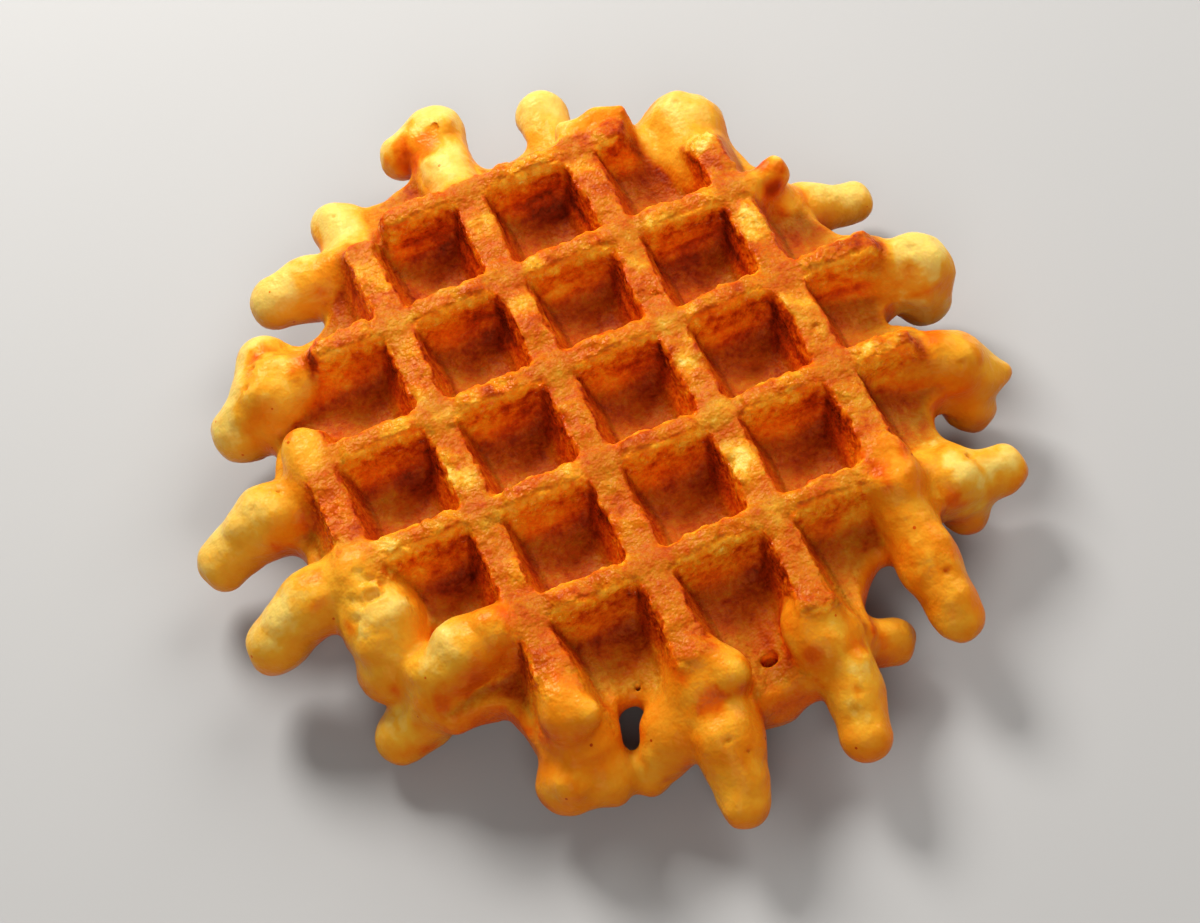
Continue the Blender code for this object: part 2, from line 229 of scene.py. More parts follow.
def value_noise(points, scale, seed):
    """Smooth noise from -1 to 1. points is a list of arrays, one for each axis, and scale is in mm."""
    scaled = [axis / scale for axis in points]
    floors = [np.floor(axis) for axis in scaled]
    ramps = []
    for axis, floor in zip(scaled, floors):
        t = (axis - floor).astype(np.float32)
        ramps.append(t * t * t * (t * (6.0 * t - 15.0) + 10.0))
    total = np.zeros(scaled[0].shape, np.float32)
    for corner in range(2 ** len(points)):
        weight = np.ones(scaled[0].shape, np.float32)
        place = []
        for axis, (floor, ramp) in enumerate(zip(floors, ramps)):
            upper = (corner >> axis) & 1
            weight *= ramp if upper else 1.0 - ramp
            place.append(floor + upper)
        total += weight * hashed(*place, np.full(floors[0].shape, seed))
    return total * 2.0 - 1.0


def layered_noise(points, scale, seed, layers=3):
    """Value noise with finer layers, each of half the strength and half the scale of the one before."""
    total = np.zeros(points[0].shape, np.float32)
    share = 0.5
    for layer in range(layers):
        total += share * value_noise(points, scale / 2 ** layer, seed + layer)
        share /= 2
    return total


# The noises of the crust: scale in mm, seed and number of layers. A noise of one layer runs from -1 to 1,
# and a noise of more layers stays a little inside that.
NOISES = {
    "blotches": (5.0, 401, 3),
    "lobe lumps": (11.0, 301, 2),
    "lobe knuckles": (5.5, 303, 2),
    "lobe dimples": (3.4, 305, 1),
    "crumbs": (2.4, 311, 2),
    "edge crumbs": (1.5, 315, 2),
    "fine crumbs": (1.1, 321, 1),
    "bent layers": (14.0, 331, 1),
    "dents": (6.0, 351, 2),
    "torn edge": (3.0, 361, 3),
    "torn crumbs": (2.0, 371, 2),
    "patches": (9.0, 391, 2),
    "wall": (6.0, 501, 3),
    "pale wall": (7.0, 515, 2),
    "floor": (7.0, 521, 3),
    "floor spots": (2.6, 525, 1),
    "top": (3.0, 531, 3),
    "shiny top": (5.0, 533, 2),
    "crisp top": (4.0, 535, 2),
    "pale rim": (6.0, 541, 2),
    "corner": (5.0, 545, 3),
    "batter": (6.0, 561, 3),
    "lobe root": (5.0, 565, 2),
    "mark edge": (3.0, 571, 3),
    "scorch": (5.0, 581, 4),
}


def crust_noise(where, name):
    scale, seed, layers = NOISES[name]
    if layers == 1:
        return value_noise(where, scale, seed)
    return layered_noise(where, scale, seed, layers)


class Field:
    """Distances to the waffle's surface on a regular grid of points, negative inside."""

    # Farther from the surface than any blend reaches
    FAR = 50.0

    def __init__(self, low, high, cell):
        self.cell = cell
        self.low = np.array(low)
        self.shape = tuple(int(math.ceil((high[i] - low[i]) / cell)) + 1 for i in range(3))
        self.axes = [(low[i] + cell * np.arange(self.shape[i])).astype(np.float32) for i in range(3)]

    def empty(self):
        return np.full(self.shape, self.FAR, np.float32)

    def window(self, low, high):
        """The part of the grid inside a box: its slices, and its coordinates ready to broadcast."""
        slices = []
        for axis in range(3):
            first = int(np.searchsorted(self.axes[axis], low[axis]))
            last = int(np.searchsorted(self.axes[axis], high[axis]))
            slices.append(slice(first, max(last, first + 1)))
        x, y, z = (self.axes[axis][slices[axis]] for axis in range(3))
        return tuple(slices), x[:, None, None], y[None, :, None], z[None, None, :]

    def window_around(self, b, a, height, reach):
        """The part of the grid within reach of one place on the waffle's own grid."""
        x, y = grid_to_mm(b, a)
        return self.window((x - reach, y - reach, height - reach), (x + reach, y + reach, height + reach))

    def sample(self, values, points):
        """The values at any points, worked out between the grid's own."""
        scaled = (points - self.low) / self.cell
        whole = np.clip(np.floor(scaled).astype(int), 0, np.array(self.shape) - 2)
        part = np.clip(scaled - whole, 0.0, 1.0)
        total = np.zeros(len(points))
        for corner in range(8):
            bits = [(corner >> axis) & 1 for axis in range(3)]
            weight = np.ones(len(points))
            for axis in range(3):
                weight *= part[:, axis] if bits[axis] else 1.0 - part[:, axis]
            total += weight * values[tuple(whole[:, axis] + bits[axis] for axis in range(3))]
        return total


# Points from one knot of an outline to the next
OUTLINE_STEPS = 6


def smooth_outline(knots):
    """A smooth closed line through the knots."""
    knots = np.array([grid_to_mm(b, a) for b, a in knots])
    before = np.roll(knots, 1, axis=0)
    after = np.roll(knots, -1, axis=0)
    further = np.roll(knots, -2, axis=0)
    points = []
    for t in np.arange(OUTLINE_STEPS) / OUTLINE_STEPS:
        points.append(
            0.5 * (
                2 * knots
                + (after - before) * t
                + (2 * before - 5 * knots + 4 * after - further) * t ** 2
                + (3 * knots - before - 3 * after + further) * t ** 3
            )
        )
    return np.stack(points, axis=1).reshape(-1, 2)


def outline_distance(x, y, outline):
    """Signed distance in the plane to a closed outline, negative inside."""
    nearest = np.full(np.broadcast(x, y).shape, np.inf, np.float32)
    inside = np.zeros(nearest.shape, bool)
    for start, end in zip(outline, np.roll(outline, -1, axis=0)):
        along = end - start
        t = ((x - start[0]) * along[0] + (y - start[1]) * along[1]) / (along @ along)
        t = np.clip(t, 0.0, 1.0)
        gap = (x - start[0] - t * along[0]) ** 2 + (y - start[1] - t * along[1]) ** 2
        nearest = np.minimum(nearest, gap)
        crosses = (start[1] > y) != (end[1] > y)
        if along[1] != 0:
            inside ^= crosses & (x < start[0] + (y - start[1]) * along[0] / along[1])
    return np.where(inside, -1.0, 1.0) * np.sqrt(nearest)


# The ribs wander by a little, and their tops are uneven where the batter didn't quite fill the iron
WANDER = 0.45
WANDER_SCALE = 9.0
RAGGED = 0.5
RAGGED_SCALE = 3.2
TOP_DIP = 1.0
TOP_DIP_SCALE = 5.0
# The larger this is, the more of a top is dipped
TOP_DIP_SPREAD = 0.3
# Where an A rib dips to a B rib that it crosses: all the way at the first distance, none at the second
CROSSING_DIP_REACH = (2.0, 6.0)
# Between crossings an A rib's top swells by this much
A_TOP_SWELL = 0.9
# How far round its line a rib is worked out, how far past the web, and how far it stops from the web's
# other face
RIB_REACH = PITCH / 2 + 1.0
RIB_PAST_WEB = 2.0
RIB_ROOT = 1.0
# The first rib's seed, the step to the next rib's, and the steps to a rib's second and third noise
FIRST_SEED = 11
SEED_STEP = 20
RAGGED_SEED = 3
TOP_DIP_SEED = 7


def add_rib(field, body, line, ends, along_x, upper, seed):
    """Blends one tapered rib into the body's distances."""
    if along_x:
        start, middle = grid_to_mm(ends[0], line)
        end, _ = grid_to_mm(ends[1], line)
        low, high = (start, middle), (end, middle)
    else:
        middle, end = grid_to_mm(line, ends[0])
        _, start = grid_to_mm(line, ends[1])
        low, high = (middle, start), (middle, end)
    bottom = WEB_LOW - RIB_PAST_WEB if upper else -MARGIN
    roof = THICKNESS + MARGIN if upper else WEB_HIGH + RIB_PAST_WEB
    window, x, y, z = field.window(
        (low[0] - RIB_REACH, low[1] - RIB_REACH, bottom), (high[0] + RIB_REACH, high[1] + RIB_REACH, roof)
    )
    flat = [np.broadcast_to(axis[:, :, 0], (x.shape[0], y.shape[1])) for axis in (x, y)]
    wander = WANDER * layered_noise(flat, WANDER_SCALE, seed)[:, :, None]
    ragged = RAGGED * layered_noise(flat, RAGGED_SCALE, seed + RAGGED_SEED)[:, :, None]
    dip = TOP_DIP_SPREAD + layered_noise(flat, TOP_DIP_SCALE, seed + TOP_DIP_SEED)
    dip = TOP_DIP * np.maximum(dip, 0.0)[:, :, None]
    across = np.abs((y if along_x else x) - middle + wander)
    run = x if along_x else y
    if upper:
        height = z
        from_crossing = np.abs(run / PITCH - np.round(run / PITCH)) * PITCH
        near, far = CROSSING_DIP_REACH
        lower = smooth_step(far, near, from_crossing) if along_x else 1.0
        top = THICKNESS - dip - B_TOPS_LOWER * lower
    else:
        height = WEB_HIGH + WEB_LOW - z
        top = THICKNESS
    rise = (height - WEB_HIGH) / (THICKNESS - WEB_HIGH)
    top_width = A_TOP_WIDTH if along_x else B_TOP_WIDTH
    if upper and along_x:
        top_width = top_width + A_TOP_SWELL * (0.5 - lower)
    half_width = 0.5 * blend(RIB_BASE_WIDTH, top_width, rise) + ragged * rise
    draft = math.atan2(0.5 * (RIB_BASE_WIDTH - B_TOP_WIDTH), THICKNESS - WEB_HIGH)
    side = (across - half_width) * math.cos(draft)
    slope = RIB_END_SLOPE * (rise - 0.5)
    past_ends = np.maximum(start + slope - run, run - end + slope)
    edge = A_RIB_EDGE if along_x else B_RIB_EDGE
    rib = smooth_max(smooth_max(side, past_ends, RIB_END_ROUND), height - top, edge)
    rib = np.maximum(rib, WEB_LOW + RIB_ROOT - height)
    body[window] = smooth_min(body[window], rib, RIB_CORNER)


def web_distance(field):
    """Distances to the web, and distances in the plane to its rim."""
    x, y, z = field.axes
    rim = outline_distance(x[:, None], y[None, :], smooth_outline(WEB_EDGE))
    half = (WEB_HIGH - WEB_LOW) / 2
    slab = np.abs(z[None, None, :] - WEB_MIDDLE) - half
    return smooth_max(slab, rim[:, :, None], WEB_EDGE_ROUND), rim


def gap_to(where, b, a, height):
    """The distance of each point from one place on the waffle's grid, in mm."""
    x, y = grid_to_mm(b, a)
    return np.sqrt((where[0] - x) ** 2 + (where[1] - y) ** 2 + (where[2] - height) ** 2)


def gap_to_line(where, start, end):
    """The distance of each point from a line, and how far along it, from 0 to 1, its nearest place is."""
    x, y, z = where
    along = end - start
    t = (x - start[0]) * along[0] + (y - start[1]) * along[1] + (z - start[2]) * along[2]
    t = np.clip(t / (along @ along), 0.0, 1.0)
    gap = np.sqrt(
        (x - start[0] - t * along[0]) ** 2
        + (y - start[1] - t * along[1]) ** 2
        + (z - start[2] - t * along[2]) ** 2
    )
    return gap, t


# How far past its own surface each of these forms is worked out
LOBE_REACH = 7.0
KNOB_REACH = 4.0
FLAKE_REACH = 2.0


def add_lobe(field, lobes, chain):
    """Blends a chain of balls, joined by tapered rods, into the lobes' distances."""
    balls = [np.array((*grid_to_mm(b, a), height, radius)) for b, a, height, radius in chain]
    for start, end in zip(balls, balls[1:]):
        reach = max(start[3], end[3]) + LOBE_REACH
        low = np.minimum(start, end)[:3] - reach
        high = np.maximum(start, end)[:3] + reach
        window, *where = field.window(low, high)
        gap, t = gap_to_line(where, start[:3], end[:3])
        rod = gap - blend(start[3], end[3], t)
        lobes[window] = smooth_min(lobes[window], rod, LOBE_BLEND)


def add_knob(field, lobes, b, a, height, radius):
    """Blends one ball into the lobes' distances."""
    window, *where = field.window_around(b, a, height, radius + KNOB_REACH)
    lobes[window] = smooth_min(lobes[window], gap_to(where, b, a, height) - radius, KNOB_BLEND)


def add_flake(field, whole, b, a, height, length, turn):
    """Blends a thin curled flake into the whole: a short rod that narrows to its free end."""
    middle = np.array((*grid_to_mm(b, a), height))
    half = 0.5 * length * np.array((math.cos(turn), math.sin(turn), 0.0))
    start = middle - half
    end = middle + half + (0.0, 0.0, FLAKE_RISE)
    reach = 0.5 * length + FLAKE_REACH
    window, *where = field.window(np.minimum(start, end) - reach, np.maximum(start, end) + reach)
    gap, t = gap_to_line(where, start, end)
    whole[window] = smooth_min(whole[window], gap - FLAKE_RADIUS * (1.0 - FLAKE_TAPER * t), FLAKE_BLEND)


def add_pore(field, whole, b, a, radius):
    """Sinks a small round pore into the upper surface."""
    x, y = grid_to_mm(b, a)
    column, _, _, z = field.window((x, y, 0.0), (x, y, THICKNESS + MARGIN))
    solid = np.flatnonzero(whole[column][0, 0] < 0)
    if not len(solid):
        return
    height = float(z[0, 0, solid[-1]]) + PORE_RISE * radius
    window, *where = field.window_around(b, a, height, 3.0 * radius)
    whole[window] = smooth_max(whole[window], radius - gap_to(where, b, a, height), PORE_EDGE)


def drill(field, whole, b, a, wide, long):
    """Takes an oval hole out of the whole, from top to bottom."""
    hole_x, hole_y = grid_to_mm(b, a)
    reach = 2 * max(wide, long)
    window, x, y, _ = field.window(
        (hole_x - reach, hole_y - reach, -MARGIN), (hole_x + reach, hole_y + reach, THICKNESS + MARGIN)
    )
    hole = (1.0 - np.hypot((x - hole_x) / wide, (y - hole_y) / long)) * min(wide, long)
    whole[window] = smooth_max(whole[window], hole, HOLE_EDGE)


def waffle_field():
    low = [value / MM - MARGIN for value in cad_box[0]]
    high = [value / MM + MARGIN for value in cad_box[1]]
    field = Field(low, high, CELL)
    ribs = field.empty()
    seeds = itertools.count(FIRST_SEED, SEED_STEP)
    for upper in (True, False):
        for table, along_x in ((A_RIBS, True), (B_RIBS, False)):
            for line, ends in table.items():
                add_rib(field, ribs, line, ends, along_x, upper, next(seeds))
    web, rim = web_distance(field)
    body = smooth_min(ribs, web, FLOOR_CORNER)
    lobes = field.empty()
    for chain in LOBES.values():
        add_lobe(field, lobes, chain)
    for knob in KNOBS:
        add_knob(field, lobes, *knob)
    whole = smooth_min(body, lobes, LOBE_TO_BODY)
    z = field.axes[2][None, None, :]
    whole = smooth_max(whole, z - THICKNESS, FACE_EDGE)
    whole = smooth_max(whole, -z, FACE_EDGE)
    for hole in HOLES:
        drill(field, whole, *hole)
    for flake in FLAKES:
        add_flake(field, whole, *flake)
    for pore in PORES:
        add_pore(field, whole, *pore)
    return field, whole, body, lobes, rim


def surface_of(field, values):
    """The surface where the values are zero, as points in mm and four-cornered faces."""
    inside = values < 0
    corners = [(i, j, k) for i in (0, 1) for j in (0, 1) for k in (0, 1)]
    size = tuple(n - 1 for n in values.shape)
    count = np.zeros(size, np.int8)
    for i, j, k in corners:
        count += inside[i:i + size[0], j:j + size[1], k:k + size[2]]
    cells = np.argwhere((count > 0) & (count < 8))
    number = np.full(size, -1, np.int32)
    number[tuple(cells.T)] = np.arange(len(cells))
    at_corner = {c: values[tuple((cells + c).T)] for c in corners}
    total = np.zeros((len(cells), 3))
    hits = np.zeros(len(cells))
    for first in corners:
        for axis in range(3):
            if first[axis]:
                continue
            second = tuple(1 if i == axis else first[i] for i in range(3))
            start, end = at_corner[first], at_corner[second]
            crossing = (start < 0) != (end < 0)
            t = np.where(crossing, start / np.where(crossing, start - end, 1.0), 0.0)
            place = np.tile(np.array(first, float), (len(cells), 1))
            place[:, axis] = t
            total += place * crossing[:, None]
            hits += crossing
    points = field.low + (cells + total / hits[:, None]) * field.cell
    faces = []
    for axis in range(3):
        one, two = [i for i in range(3) if i != axis]
        ahead = [slice(None)] * 3
        behind = [slice(None)] * 3
        ahead[axis] = slice(1, None)
        behind[axis] = slice(None, -1)
        change = inside[tuple(behind)] != inside[tuple(ahead)]
        edges = np.argwhere(change)
        edges = edges[(edges[:, one] > 0) & (edges[:, two] > 0)]
        edges = edges[(edges[:, one] < size[one]) & (edges[:, two] < size[two])]
        ring = []
        for back_one, back_two in ((0, 0), (1, 0), (1, 1), (0, 1)):
            cell = edges.copy()
            cell[:, one] -= back_one
            cell[:, two] -= back_two
            ring.append(number[tuple(cell.T)])
        quads = np.stack(ring, axis=1)
        # A face whose inside lies behind it along this axis looks forwards
        outwards = inside[tuple(edges.T)]
        if axis == 1:
            outwards = ~outwards
        quads[~outwards] = quads[~outwards][:, ::-1]
        faces.append(quads)
    return points, np.concatenate(faces)


def point_normals(points, faces):
    diagonal_one = points[faces[:, 2]] - points[faces[:, 0]]
    diagonal_two = points[faces[:, 3]] - points[faces[:, 1]]
    face_normals = np.cross(diagonal_one, diagonal_two)
    normals = np.zeros_like(points)
    for corner in range(4):
        for axis in range(3):
            normals[:, axis] += np.bincount(
                faces[:, corner], weights=face_normals[:, axis], minlength=len(points)
            )
    return normals / np.maximum(np.linalg.norm(normals, axis=1), 1e-9)[:, None]


# Where each share rises from 0, at the first number, to 1, at the second. They are measured in mm, in
# parts of a surface's normal, in parts of a pitch, or in what a noise gives.
RISES = {
    "free batter": (-1.2, 1.2),
    "free rim": (-2.2, -0.4),
    "above or below the web": (3.0, 5.5),
    "level": (0.35, 0.75),
    "near a face": (5.5, 1.0),
    "off the top": (0.98, 0.85),
    "off the wall": (0.15, 0.45),
    "crumbly": (-0.30, 0.35),
    "bubble rim": (0.22, 0.0),
    "torn": (1.0, 0.75),
    "rounded edge": (0.95, 0.70),
    "upper half": (5.0, 2.5),
    "below the edge": (0.8, 2.0),
    "above the middle": (6.5, 3.5),
    "to the viewer": (0.3, 0.8),
    "just below the edge": (3.5, 0.8),
    "pale patch": (0.1, 0.5),
    "between layers": (0.0, -0.6),
    "to a side": (0.35, 0.85),
    "to the right": (0.30, 0.70),
    "floor spot": (0.25, 0.6),
    "right in the pocket": (0.25, 0.75),
    "back in the pocket": (0.72, 0.28),
    "inside the pocket": (1.0, 4.0),
    "near the rim": (-10.0, -1.0),
    "at a crossing": (4.5, 2.0),
    "shiny": (0.02, 0.35),
    "crisp": (0.10, 0.40),
    "on a top": (3.0, 0.6),
    "right edge": (0.25, 0.6),
    "past the edge": (0.1, 0.7),
    "not far down": (2.4, 1.0),
    "in front": (40.0, -70.0),
    "lobe's shaded side, painted browner": (0.85, -0.35),
    "lobe's shaded side, painted darker": (0.75, -0.5),
    "lobe's root": (6.0, 0.0),
    "lobe's underside": (0.1, -0.8),
    "scorched": (0.14, 0.42),
    "near the body": (9.0, 2.0),
    "facing up": (-0.3, 0.3),
    "in a mark": (1.1, 0.4),
    "pale": (0.32, 0.06),
}


def rise(name, value):
    return smooth_step(*RISES[name], value)


# How far the crust's relief moves the surface, in mm
LOBE_LUMPS = 1.5
LOBE_KNUCKLES = 0.60
LOBE_DIMPLES = 0.16
CRUMBS = 0.50
EDGE_CRUMBS = 0.75
FINE_CRUMBS = 0.16
WALL_BUBBLES = 0.30
WALL_LAYERS = 0.17
DENTS = 0.16
TORN_CRUMBS = 1.1

# The layers and the bubbles in the walls' crust: their sizes in mm, and their seeds
LAYER_SPACING = 1.7
LAYER_LENGTH = 14.0
LAYER_BEND = 0.9
LAYER_SEED = 341
BUBBLE_SIZE = 2.9
BUBBLE_SEED = 381

# Shares of the relief: crumbs where the crust is smooth, fine crumbs on walls, how far bubbles, their
# rims and torn batter lie below the surface, and how much of the layers' relief is lost near a face
LEAST_CRUMBS = 0.35
FINE_ON_WALLS = 0.4
BUBBLE_SINK = 0.7
BUBBLE_RIM_SINK = 0.3
TORN_SINK = 0.3
LAYERS_LOST = 0.7

# How ragged the edges of free batter, of the web's free rim and of torn patches are, and how free the rim is
FREE_RAGGED = 1.6
RIM_FREE_RAGGED = 0.8
TORN_RAGGED = 0.6
RIM_FREE = 0.85

# Torn patches of batter: (B coordinate, A coordinate, height, radius)
TORN = ((0.95, 3.26, 24.0, 4.2), (0.90, 3.50, 21.5, 4.0), (4.99, 0.34, 25.5, 4.0))


def steepness(normals):
    """1 on a wall, and 0 where the surface is level."""
    return 1.0 - rise("level", np.abs(normals[:, 2]))


def free_share(points, at_body, at_lobes, at_rim):
    """1 on batter that the iron never touched, and 0 on pressed crust."""
    blotches = crust_noise(columns(points), "blotches")
    free = rise("free batter", at_body - at_lobes + FREE_RAGGED * blotches)
    edge = rise("free rim", at_rim + RIM_FREE_RAGGED * blotches)
    edge *= 1.0 - rise("above or below the web", np.abs(points[:, 2] - WEB_MIDDLE))
    return np.maximum(free, RIM_FREE * edge)


def torn_share(points):
    """1 inside a torn patch, falling to 0 at its ragged edge."""
    where = columns(points)
    share = np.zeros(len(points), np.float32)
    ragged = TORN_RAGGED * crust_noise(where, "torn edge")
    for b, a, height, radius in TORN:
        share = np.maximum(share, rise("torn", gap_to(where, b, a, height) / radius + ragged))
    return share


def bubble_gaps(where):
    """Distances, in bubble sizes, to the middles of the nearest bubble and of the one after it."""
    cell = [np.floor(axis / BUBBLE_SIZE) for axis in where]
    nearest = np.full(where[0].shape, np.inf)
    second = nearest.copy()
    for shift in itertools.product((-1, 0, 1), repeat=3):
        near = [axis + step for axis, step in zip(cell, shift)]
        gap = np.zeros(nearest.shape)
        for axis in range(3):
            middle = near[axis] + hashed(*near, np.full(nearest.shape, BUBBLE_SEED + axis))
            gap += (where[axis] / BUBBLE_SIZE - middle) ** 2
        gap = np.sqrt(gap)
        second = np.minimum(second, np.maximum(nearest, gap))
        nearest = np.minimum(nearest, gap)
    return nearest, second


def wall_bubbles(where):
    """Domes of the bubbles in the walls' crust, and the thin rims between them, each from 0 to 1."""
    nearest, second = bubble_gaps(where)
    return np.clip(1.0 - nearest ** 2, 0.0, 1.0), rise("bubble rim", second - nearest)


def wall_layers(where):
    """Thin layers along the walls, from -1 to 1."""
    x, y, z = where
    bent = z + LAYER_BEND * crust_noise([x, y], "bent layers")
    return value_noise([bent, (x + y) / LAYER_LENGTH], LAYER_SPACING, LAYER_SEED)


def patchiness(where):
    """Where the ribs' tops are crumbly, from 0 for smooth and glossy to 1."""
    return rise("crumbly", crust_noise(where, "patches"))


def relief(points, normals, free, torn):
    """How far each point of the surface moves outwards, for lumps, crumbs and layers in the crust."""
    where = columns(points)
    steep = steepness(normals)
    slant = np.abs(normals[:, 2])
    near_face = rise("near a face", THICKNESS - points[:, 2]) + rise("near a face", points[:, 2])
    pressed = 1.0 - free
    at_edge = rise("off the top", slant) * rise("off the wall", slant) * near_face
    patchy = blend(LEAST_CRUMBS, 1.0, patchiness(where))
    domes, rims = wall_bubbles(where)
    bubbles = domes - BUBBLE_SINK - BUBBLE_RIM_SINK * rims
    total = LOBE_LUMPS * crust_noise(where, "lobe lumps") * free
    total += LOBE_KNUCKLES * crust_noise(where, "lobe knuckles") * free
    total += LOBE_DIMPLES * crust_noise(where, "lobe dimples") * free
    total += CRUMBS * crust_noise(where, "crumbs") * pressed * near_face * patchy
    total += EDGE_CRUMBS * crust_noise(where, "edge crumbs") * pressed * at_edge
    fine = FINE_CRUMBS * crust_noise(where, "fine crumbs") * pressed * near_face * patchy
    total += fine * blend(1.0, FINE_ON_WALLS, steep)
    total += WALL_BUBBLES * bubbles * steep * pressed * near_face
    total += WALL_LAYERS * wall_layers(where) * steep * pressed * (1.0 - LAYERS_LOST * near_face)
    total += DENTS * crust_noise(where, "dents") * pressed
    total += TORN_CRUMBS * (crust_noise(where, "torn crumbs") - TORN_SINK) * torn
    return total


# How brown each zone of the crust is, from 0 for pale batter, which free lobes are, to 1 for dark brown
BROWN_TOP = 0.41
BROWN_WALL = 0.40
BROWN_FLOOR = 0.45
BROWN_TORN = 0.08
PALEST_WALL = 0.31

# How much browner the crust is in some places
# Pockets' corners: browning and painted shade
CORNER_BROWN_AND_SHADE = 0.30
SIDE_BROWN = 0.20
EDGE_BROWN = 0.24
BUBBLE_RIM_BROWN = 0.16
LAYER_BROWN = 0.22
FLOOR_SPOT_BROWN = 0.12
CRISP_BROWN = 0.20
# Lobes are browner on the side away from the lamps, as painted shade
LOBE_SHADE_BROWN = 0.20
# Lobes nearer the front are browner, as painted shade where the light falls off
LOBE_FRONT_PAINTED_SHADE = 0.18
LOBE_ROOT_BROWN = 0.18
LOBE_UNDER_BROWN = 0.20
SCORCH_BROWN = 0.22

# How much paler it is in others
RIM_PALE = 0.24
FRONT_PALE = 0.14
DOME_PALE = 0.12
PATCH_PALE = 0.16
# Shiny patches on the tops are painted paler as highlights
SHINY_PAINTED_PALE = 0.22

# How much each zone's brown varies, and how ragged the edges of the rim, the lobes' roots and the marks are
WALL_MOTTLE = 0.12
FLOOR_MOTTLE = 0.08
TOP_MOTTLE = 0.16
LOBE_MOTTLE = 0.10
CORNER_MOTTLE = 0.5
CORNER_EVEN = 0.8
RIM_RAGGED = 2.0
LOBE_ROOT_RAGGED = 3.0
MARK_RAGGED = 0.9

# How light each zone is. The walls are kept lighter than the tops and floors as painted light, since the
# lamps leave the walls in shade and light the level crust
TONE_WALL = 1.0
TONE_TOP = 0.59
TONE_FLOOR = 0.56
TONE_LOBE = 0.80
TONE_PALE = 0.84

# How much darker some places are, as painted shade at the pockets' corners, on walls facing left or right
# and on the lobes' shaded sides, and how much lighter the shiny ones are, as a painted highlight
# The pockets' corners are darkened as painted shade
CORNER_PAINTED_SHADE = 0.22
# Walls facing left and right are darkened as painted shade
LEFT_WALL_PAINTED_SHADE = 0.22
RIGHT_WALL_PAINTED_SHADE = 0.40
CRISP_TONE = 0.07
CROSSING_TONE = 0.05
LOBE_SHADE_TONE = 0.12
SHINY_PAINTED_HIGHLIGHT = 0.16

# How much the small bubbles in the crust show on tops, and more of it where they are patchy, shiny or torn
LACY_TOP = 0.20
LACY_PATCHY = 0.35
LACY_SHINY = 0.35
LACY_TORN = 0.25
# How much of that is lost at crossings and on walls that face right
LACY_LOST_CROSSING = 0.7
LACY_LOST_RIGHT = 0.8

# How far a wall may go past its palest brown, how much torn batter is paler, and pale crust lighter
PAST_PALEST = 0.15
TORN_SHARE = 0.75
PALE_SHARE = 0.7
# A pocket's corner counts this much at the left of the wall behind it
CORNER_LEFT = 0.35
# The side towards the key lamp, where a lobe is palest and away from which it is painted browner and darker
# as shade, and how scorch streaks are squeezed along each axis
LOBE_LIT_SIDE = np.array((-0.10, 0.45, 0.89))
STREAKS = (1.6, 0.7, 0.7)

